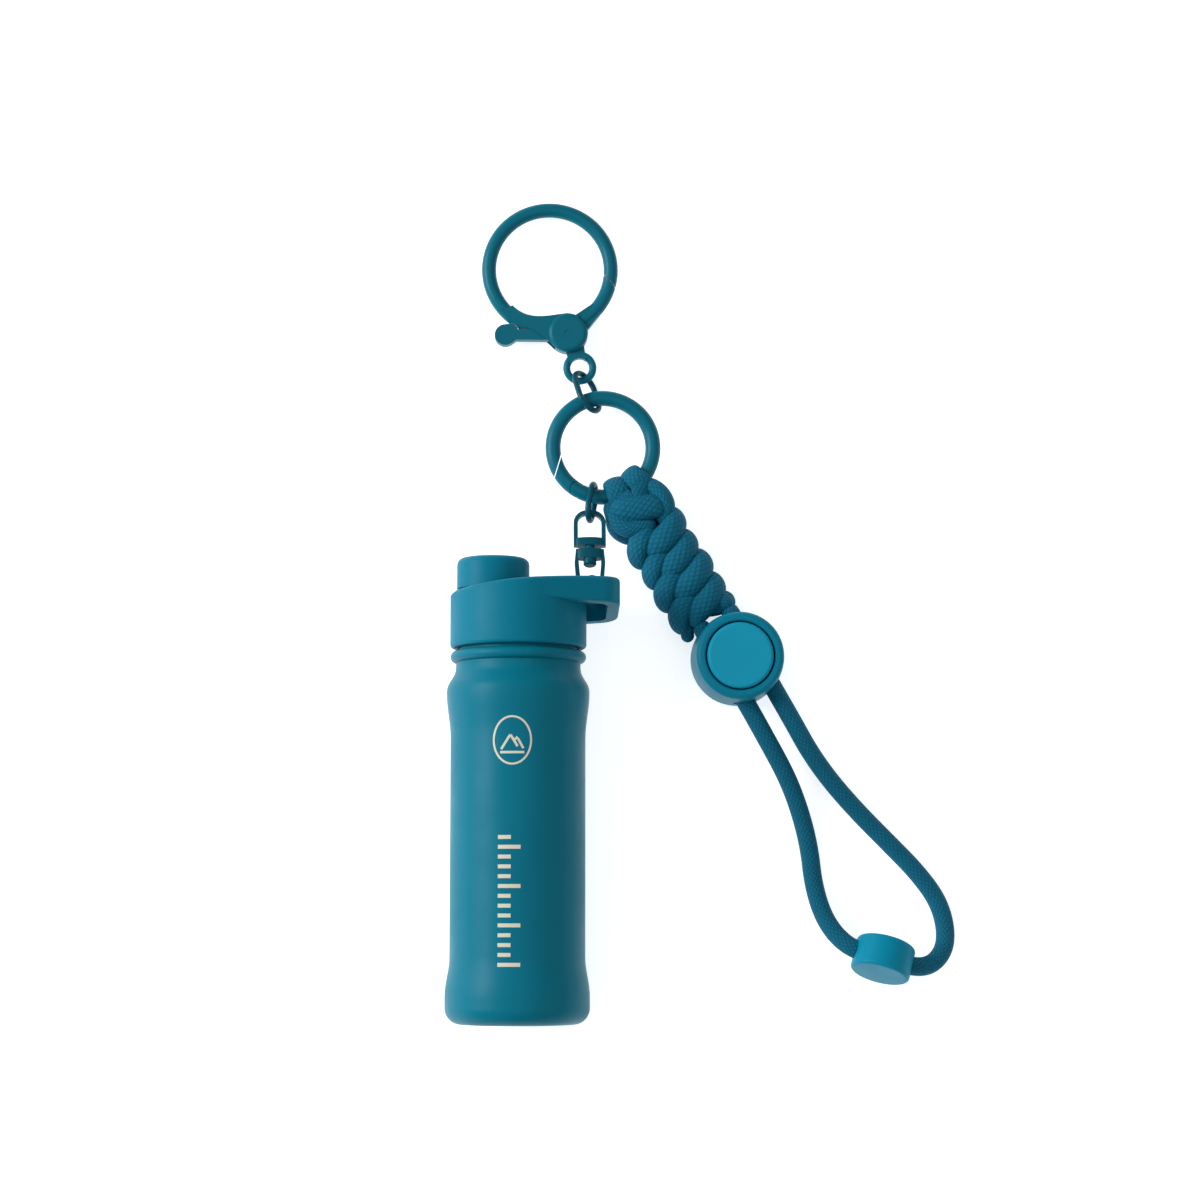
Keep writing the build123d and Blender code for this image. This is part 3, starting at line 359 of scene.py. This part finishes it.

# %% [markdown]
# ## The plait
# The plait is a row of square knots: each wrap comes round one edge, crosses the front on a slant and tucks
# under the next from the other side, and then crosses the back. It is modelled in its own frame first, in
# millimetres: X runs down the plait from the ring, Y across it and Z up. One wrap of each edge is a
# tube: the right one lies over the left one. Geometry Nodes then repeat the two down the plait,
# which is how the real knot repeats, with a small seeded wobble so that no two wraps are quite alike.

# %% One wrap of each edge
plait_origin = Vector((24.9, 110.8, -10.22)) * MM
plait_ahead = Vector((41.7 - 24.9, 86.9 - 110.8, 0)).normalized()
plait_side = Vector((-plait_ahead.y, plait_ahead.x, 0))
plait_frame = Matrix((plait_ahead, plait_side, (0, 0, 1))).transposed().to_4x4() * MM
plait_frame.translation = plait_origin
plait_frame[3][3] = 1.0


def outward(line):
    """From the plait's own axis out to each point: which way the flat side faces."""
    away = line.copy()
    away[:, 0] = 0
    return away + np.array((0, 0, 1e-3))


right_line = smooth_line([
    (0.6, -4.6, 0.8), (0.3, -2.8, 2.2), (0.0, -0.4, 2.8), (-0.6, 2.2, 2.6), (-1.7, 4.2, 1.5),
    (-2.7, 4.7, -0.2), (-3.3, 3.6, -1.8), (-3.5, 1.0, -2.3), (-3.3, -2.0, -2.2), (-2.7, -4.4, -1.4)])
left_line = smooth_line([
    (-0.2, 3.0, -1.6), (-0.5, 0.0, -2.3), (-0.3, -3.2, -2.0), (0.2, -5.3, -1.0), (0.2, -5.9, 0.3),
    (-1.1, -5.3, 1.6), (-2.4, -3.6, 2.2), (-2.9, -1.6, 1.9), (-2.7, 0.4, 1.0)])
right_wrap = tube("right_wrap", right_line, 2.8, 2.05, outward(right_line), paracord)
left_wrap = tube("left_wrap", left_line, 2.6, 1.95, outward(left_line), paracord)
print("one pair of wraps takes", round(sum(float(np.linalg.norm(np.diff(line, axis=0), axis=1).sum())
                                         for line in (right_line, left_line)), 1), "mm of cord")

# %% The tree that repeats it


def group_input(tree, name, kind, value=None):
    """A named input of a geometry node group."""
    socket = tree.interface.new_socket(name, in_out="INPUT", socket_type=kind)
    if value is not None:
        socket.default_value = value
    return socket


plait_tree = bpy.data.node_groups.new("repeat_wraps", "GeometryNodeTree")
plait_inputs = {name: group_input(plait_tree, name, kind, value) for name, kind, value in (
    ("Geometry", "NodeSocketGeometry", None), ("Right wrap", "NodeSocketObject", None),
    ("Left wrap", "NodeSocketObject", None), ("Wraps", "NodeSocketInt", 4),
    ("First right", "NodeSocketVector", (9.9, 0.9, 0)), ("First left", "NodeSocketVector", (9.7, 0, 0)),
    ("Spacing", "NodeSocketVector", (5.5, -0.25, 0)), ("Wobble", "NodeSocketFloat", 0.05),
    ("Cord", "NodeSocketMaterial", None))}
plait_tree.interface.new_socket("Geometry", in_out="OUTPUT", socket_type="NodeSocketGeometry")
given = add_node(plait_tree, "NodeGroupInput").outputs
rows = add_node(plait_tree, "GeometryNodeJoinGeometry")
backward = add_node(plait_tree, "ShaderNodeMath", {0: given["Wobble"], 1: -1.0}, operation="MULTIPLY")
low = add_node(plait_tree, "ShaderNodeCombineXYZ", {"Z": backward.outputs[0]})
high = add_node(plait_tree, "ShaderNodeCombineXYZ", {"Z": given["Wobble"]})
for kind, first, seed in (("Right wrap", "First right", 3), ("Left wrap", "First left", 8)):
    one_wrap = add_node(plait_tree, "GeometryNodeObjectInfo", {"Object": given[kind]}).outputs["Geometry"]
    knots = add_node(plait_tree, "GeometryNodeMeshLine", {
        "Count": given["Wraps"], "Start Location": given[first], "Offset": given["Spacing"]}, mode="OFFSET")
    lean = add_node(plait_tree, "FunctionNodeRandomValue", {
        0: low.outputs[0], 1: high.outputs[0], "Seed": seed}, data_type="FLOAT_VECTOR")
    size = add_node(plait_tree, "FunctionNodeRandomValue", {2: 0.97, 3: 1.03, "Seed": seed + 1},
                    data_type="FLOAT")
    placed = add_node(plait_tree, "GeometryNodeInstanceOnPoints", {
        "Points": knots.outputs["Mesh"], "Instance": one_wrap, "Rotation": lean.outputs[0],
        "Scale": size.outputs[1]})
    plait_tree.links.new(placed.outputs["Instances"], rows.inputs["Geometry"])
solid_rows = add_node(plait_tree, "GeometryNodeRealizeInstances", {"Geometry": rows.outputs["Geometry"]})
finished = add_node(plait_tree, "GeometryNodeSetMaterial", {
    "Geometry": solid_rows.outputs["Geometry"], "Material": given["Cord"]})
add_node(plait_tree, "NodeGroupOutput", {"Geometry": finished.outputs["Geometry"]})


def grow(name, tree, values):
    """Runs a geometry node group on an empty mesh and returns its result as a plain mesh."""
    host = bpy.data.objects.new(name, bpy.data.meshes.new(name))
    bpy.context.scene.collection.objects.link(host)
    nodes = host.modifiers.new("nodes", "NODES")
    nodes.node_group = tree
    for socket, value in values.items():
        nodes[socket.identifier] = value
    evaluated = host.evaluated_get(bpy.context.evaluated_depsgraph_get())
    mesh = bpy.data.meshes.new_from_object(evaluated)
    bpy.data.objects.remove(host)
    return mesh


wraps_mesh = grow("plait_wraps", plait_tree, {
    plait_inputs["Right wrap"]: right_wrap, plait_inputs["Left wrap"]: left_wrap,
    plait_inputs["Cord"]: paracord})
bpy.data.objects.remove(right_wrap)
bpy.data.objects.remove(left_wrap)
print("the wraps are", len(wraps_mesh.polygons), "faces")

# %% [markdown]
# The rest of the plait is cords that do not repeat. Two strands go flat over the ring, a first crossing
# holds them down, a side loop bulges at each edge of it, the two cords inside come out towards the lock,
# and the last cord ends in a short melted stub.

# %% The strands over the ring and the plait's two ends
ring_middle = np.array((-14.27, 1.96, -0.65))
ring_radius = 10.85
ring_strands = []
for number, angle in enumerate((radians(-17.5), radians(9.0))):
    out = np.array((cos(angle), sin(angle), 0.0))
    wire = ring_middle + out * ring_radius
    flat = 1.65 + 1.15 + 0.08       # the ring's own radius, half the flattened cord, and a hair
    turns = [wire + out * flat * cos(radians(t)) + np.array((0, 0, flat * sin(radians(t))))
             for t in (75, 105, 140, 180, 220, 255, 285)]
    # past the ring both strands run in to the middle of the plait
    front = [wire * (1, 0.4, 1) + np.array((6.5, 0, 1.7)), wire * (1, 0.65, 1) + np.array((3.4, 0, 2.9))]
    back = [wire * (1, 0.65, 1) + np.array((3.4, 0, -2.4)), wire * (1, 0.4, 1) + np.array((6.5, 0, -1.2))]
    line = smooth_line(front + turns + back, 8)
    away = line - wire
    away -= np.outer(away @ np.array((-out[1], out[0], 0)), (-out[1], out[0], 0))
    ring_strands.append(tube(f"ring_strand_{number}", line, 2.5, 1.12, away, paracord))

loose_strands = {
    "first_crossing": ([(-1.2, -4.4, 0.6), (0.0, -2.6, 2.4), (1.4, 0.4, 2.95), (2.7, 3.2, 2.5),
                        (3.6, 4.8, 1.0)], 2.9, 2.1),
    "left_side_loop": ([(-3.2, -3.4, -0.8), (-1.6, -4.4, 0.5), (1.1, -5.1, 1.5), (3.6, -4.0, 2.0),
                        (5.0, -1.4, 1.9), (5.8, 1.6, 1.0)], 2.1, 2.0),
    "right_side_loop": ([(-2.6, 3.8, -0.4), (-1.0, 5.4, 1.0), (1.4, 6.1, 1.8), (3.9, 5.7, 1.9),
                         (5.6, 4.2, 1.5), (6.6, 2.2, 0.8)], 2.05, 1.95),
    "under_left_loop": ([(-2.6, -3.4, -1.0), (-0.6, -4.6, -1.6), (1.8, -5.6, -1.9), (4.2, -4.8, -1.9),
                         (6.0, -3.0, -1.0)], 2.1, 2.0),
    "under_right_loop": ([(-2.6, 3.6, -1.0), (-0.6, 5.0, -1.6), (1.8, 5.6, -1.9), (4.2, 4.8, -1.9),
                          (6.0, 3.0, -1.0)], 2.1, 2.0),
    "under_crossing": ([(0.0, 5.0, -0.6), (1.6, 2.4, -2.2), (2.4, 0.0, -2.5), (3.0, -2.4, -2.2),
                        (4.0, -5.0, -0.6)], 2.3, 2.0),
    "last_tuck": ([(26.0, -1.4, 0.2), (27.8, 1.2, 0.9), (28.6, 3.6, 0.6), (28.2, 4.6, -0.8),
                   (26.8, 2.6, -1.6)], 2.2, 1.9),
    "left_core": ([(20.0, -1.2, 0.0), (24.0, -2.2, 0.8), (28.4, -3.4, 1.8), (29.8, -3.8, 1.8)], 2.0, 2.0),
    "right_core": ([(20.0, 1.2, 0.0), (24.0, 2.2, 0.8), (29.1, 3.8, 1.8), (30.4, 4.2, 1.8)], 2.0, 2.0),
    "melted_stub": ([(25.4, -4.2, 0.8), (27.6, -5.4, 0.3), (29.4, -6.5, -0.2), (31.0, -7.4, -0.6)],
                    1.55, 1.45)}
plait_pieces = list(ring_strands)
for name, (points, half_width, half_height) in loose_strands.items():
    line = smooth_line(points, 8)
    plait_pieces.append(tube(name, line, half_width, half_height, outward(line), paracord))

# %% The plait as one piece, laid at its place


def join(name, meshes, placing):
    """One object of several meshes, with the UV maps and materials they came with, laid at its place."""
    parts = [bpy.data.objects.new(name, mesh) for mesh in meshes]
    for part in parts:
        bpy.context.scene.collection.objects.link(part)
    with bpy.context.temp_override(active_object=parts[0], selected_editable_objects=parts, object=parts[0],
                                   selected_objects=parts):
        bpy.ops.object.join()
    parts[0].data.transform(placing)
    parts[0].data.name = parts[0].name = name
    return parts[0]


strand_meshes = [p.data for p in plait_pieces]
for piece in plait_pieces:
    bpy.data.objects.remove(piece)
plait = join("plait", [wraps_mesh, *strand_meshes], plait_frame)
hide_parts("lanyard_weave")
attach(plait, "lanyard")
plait_z = [v.co.z for v in plait.data.vertices]
print("the plait is", len(plait.data.polygons), "faces, from", round((min(plait_z) - table_z) / MM, 2), "to",
      round((max(plait_z) - table_z) / MM, 2), "mm over the table")

# %% [markdown]
# ## The print
# A pad printer leaves a film of ink a few hundredths of a millimetre thick. Here it prints a plain badge, a
# peak in a ring, and a row of level marks. Both are drawn flat, then bent round the flask, just proud of
# its coat. The level marks repeat, so Geometry Nodes make them.

# %% Bending flat artwork round the flask
flask_radius = 14.2 * MM
ink_height = 0.035 * MM
flask_skin = BVHTree.FromObject(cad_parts["flask_body"], bpy.context.evaluated_depsgraph_get())


def print_on_flask(name, mesh):
    """Bends flat artwork, whose X is across and Y up the flask in millimetres, round the flask's front."""
    for vertex in mesh.vertices:
        angle = vertex.co.x * MM / flask_radius
        ahead = Vector((sin(angle), 0, cos(angle)))
        # the flask swells and narrows along its length, so the ink goes where a ray meets the coat
        landing = flask_skin.ray_cast(ahead * 2 * flask_radius + Vector((0, vertex.co.y * MM, 0)), -ahead)[0]
        vertex.co = landing + ahead * ink_height
    mesh.update()
    if not mesh.materials:
        mesh.materials.append(ink)
    piece = bpy.data.objects.new(name, mesh)
    bpy.context.scene.collection.objects.link(piece)
    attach(piece, "flask")


def ribbon(points, width, closed=False):
    """Vertices and faces of a flat line of that width through the points."""
    p = np.asarray(points, float)
    if closed:
        ahead = np.roll(p, -1, axis=0) - np.roll(p, 1, axis=0)
    else:
        ahead = np.gradient(p, axis=0)
    ahead /= np.linalg.norm(ahead, axis=1)[:, None]
    side = np.stack([-ahead[:, 1], ahead[:, 0]], axis=1) * width / 2
    vertices = [(*q, 0.0) for pair in zip(p + side, p - side) for q in pair]
    count = len(p)
    faces = [(2 * i + 1, 2 * ((i + 1) % count) + 1, 2 * ((i + 1) % count), 2 * i)
             for i in range(count if closed else count - 1)]
    return vertices, faces


badge_x, badge_y, badge_radius = -1.3, 58.4, 3.9
ring_line = [(badge_x + badge_radius * cos(t), badge_y + badge_radius * 1.25 * sin(t))
             for t in np.linspace(0, 2 * pi, 72, endpoint=False)]
badge_vertices, badge_faces = ribbon(ring_line, 0.42, closed=True)
peaks = [[(-2.3, -1.9), (-1.55, -0.7), (-0.8, 0.5), (-0.35, 1.1)],
         [(-0.35, 1.1), (0.2, 0.2), (0.75, -0.7), (1.1, -1.3)],
         [(0.55, 0.0), (0.95, 0.6), (1.3, 0.1), (1.75, -0.7), (2.3, -1.7)],
         [(x, -2.5) for x in np.linspace(-2.5, 2.5, 9)]]
for peak in peaks:
    more_vertices, more_faces = ribbon([(badge_x + x, badge_y + y) for x, y in peak], 0.5)
    start = len(badge_vertices)
    badge_vertices += more_vertices
    badge_faces += [tuple(start + i for i in face) for face in more_faces]
badge_mesh = bpy.data.meshes.new("badge")
badge_mesh.from_pydata(badge_vertices, [], badge_faces)
print_on_flask("printed_badge", badge_mesh)
print("the badge is", round(badge_radius * 2, 1), "mm wide")

# %% The level marks
marks_tree = bpy.data.node_groups.new("level_marks", "GeometryNodeTree")
marks_inputs = {name: group_input(marks_tree, name, kind, value) for name, kind, value in (
    ("Geometry", "NodeSocketGeometry", None), ("Marks", "NodeSocketInt", 14),
    ("Lowest", "NodeSocketVector", (-4.2, 12.5, 0)),
    ("Spacing", "NodeSocketFloat", 2.0), ("Short", "NodeSocketFloat", 2.7), ("Long", "NodeSocketFloat", 4.7),
    ("Thickness", "NodeSocketFloat", 0.8), ("Ink", "NodeSocketMaterial", None))}
marks_tree.interface.new_socket("Geometry", in_out="OUTPUT", socket_type="NodeSocketGeometry")
given = add_node(marks_tree, "NodeGroupInput").outputs
climb = add_node(marks_tree, "ShaderNodeCombineXYZ", {"Y": given["Spacing"]})
levels = add_node(marks_tree, "GeometryNodeMeshLine", {
    "Count": given["Marks"], "Start Location": given["Lowest"], "Offset": climb.outputs[0]}, mode="OFFSET")
number = add_node(marks_tree, "GeometryNodeInputIndex").outputs[0]
is_long = add_node(marks_tree, "ShaderNodeMath", {
    0: add_node(marks_tree, "ShaderNodeMath", {0: number, 1: 4.0}, operation="MODULO").outputs[0], 1: 0.5},
    operation="LESS_THAN")
mark_length = add_node(marks_tree, "ShaderNodeMix", {
    "Factor": is_long.outputs[0], "A": given["Short"], "B": given["Long"]},
    data_type="FLOAT").outputs["Result"]
# a mark is a unit strip whose left end is at the origin, so that stretching it keeps the left ends in line
strip = add_node(marks_tree, "GeometryNodeMeshGrid", {
    "Size X": 1.0, "Size Y": 1.0, "Vertices X": 7, "Vertices Y": 2})
strip_left = add_node(marks_tree, "GeometryNodeTransform", {
    "Geometry": strip.outputs["Mesh"], "Translation": (0.5, 0.0, 0.0)})
stretch = add_node(marks_tree, "ShaderNodeCombineXYZ", {"X": mark_length, "Y": given["Thickness"], "Z": 1.0})
marks = add_node(marks_tree, "GeometryNodeInstanceOnPoints", {
    "Points": levels.outputs["Mesh"], "Instance": strip_left.outputs["Geometry"],
    "Scale": stretch.outputs[0]})
solid_marks = add_node(marks_tree, "GeometryNodeRealizeInstances", {"Geometry": marks.outputs["Instances"]})
inked = add_node(marks_tree, "GeometryNodeSetMaterial", {
    "Geometry": solid_marks.outputs["Geometry"], "Material": given["Ink"]})
add_node(marks_tree, "NodeGroupOutput", {"Geometry": inked.outputs["Geometry"]})
marks_mesh = grow("level_marks", marks_tree, {marks_inputs["Ink"]: ink})
print_on_flask("printed_level_marks", marks_mesh)
print("the level marks are", len(marks_mesh.polygons), "faces")

# %% [markdown]
# ## Finishes on the CAD pieces
# Each CAD piece keeps its shape and gets the finish of what it really is, through the material slots it
# came with.

# %% Giving each CAD piece its finish
finishes = {
    powder_coat: ["flask_body"],
    lid_plastic: ["lid_shell", "spout_cap"],
    silicone: ["lid_gasket", "spout_gasket"],
    lacquer: ["spring_ring_body", "spring_ring_gate", "clasp_body", "clasp_lever", "clasp_rivet", "gate_pin"],
    painted_shade_lacquer: ["swivel_lower_bow", "swivel_upper_bow", "swivel_rivet", "lower_link", "upper_link"],
    spring_steel: ["gate_spring", "clasp_spring", "lock_spring"],
    lock_plastic: ["lock_body"],
    button_plastic: ["lock_button"],
    joiner_plastic: ["joiner_body", "joiner_cap"],
    paracord: ["lanyard_weave", "loop_cord"]}
for material, nodes in finishes.items():
    for node in nodes:
        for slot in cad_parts[node].material_slots:
            slot.material = material
finished_nodes = [node for nodes in finishes.values() for node in nodes]
print("CAD pieces with a finish:", len(finished_nodes), "of", len(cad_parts))

# %% [markdown]
# ## The table and the light
# The table is a plain white sheet that runs far past the view. The light is a big soft key from the left,
# which makes the long highlight down the flask, with weak fill from the other side and a white room all
# round, so that the shadows stay pale.

# %% Table
table_half = 1.5
table_mesh = bpy.data.meshes.new("table")
corners = [(x * table_half, y * table_half, table_z) for x, y in ((-1, -1), (1, -1), (1, 1), (-1, 1))]
table_mesh.from_pydata(corners, [], [(0, 1, 2, 3)])
paper, _, paper_shader = new_material("matt_white_paper")
paper_shader.inputs["Base Color"].default_value = linear("#FCFCFC")
paper_shader.inputs["Roughness"].default_value = 0.9
paper_shader.inputs["Specular IOR Level"].default_value = 0.1
# the sheet is lit from below too, as on a light table, which is what makes it white and the shadows pale
paper_shader.inputs["Emission Color"].default_value = (1.0, 1.0, 1.0, 1.0)
paper_shader.inputs["Emission Strength"].default_value = 0.68
table_mesh.materials.append(paper)
table = bpy.data.objects.new("table", table_mesh)
bpy.context.scene.collection.objects.link(table)
print("the table is at", round(table_z / MM, 2), "mm")

# %% Lights


def soft_light(name, place, aim, size, power):
    """A square area light of that size in metres, turned to what it lights."""
    light = bpy.data.lights.new(name, "AREA")
    light.size = size
    light.energy = power
    lamp = bpy.data.objects.new(name, light)
    lamp.location = place
    lamp.rotation_euler = (Vector(aim) - Vector(place)).to_track_quat("-Z", "Y").to_euler()
    bpy.context.scene.collection.objects.link(lamp)


subject = (0.03, 0.09, 0.0)
soft_light("key", (-0.85, 0.3, 0.5), subject, 0.55, 9.5)
soft_light("fill", (0.7, -0.1, 0.6), subject, 0.7, 0.5)
soft_light("top", (0.03, 0.1, 1.2), subject, 1.0, 1.6)
room = bpy.data.worlds.new("white_room")
room.use_nodes = True
bpy.context.scene.world = room
room.node_tree.nodes["Background"].inputs["Color"].default_value = (1.0, 1.0, 1.0, 1.0)
room.node_tree.nodes["Background"].inputs["Strength"].default_value = 0.3
# a product shot keeps its paint colours as they are, so no film-like curve goes over them
bpy.context.scene.view_settings.view_transform = "Standard"
print("three soft lights and a white room")
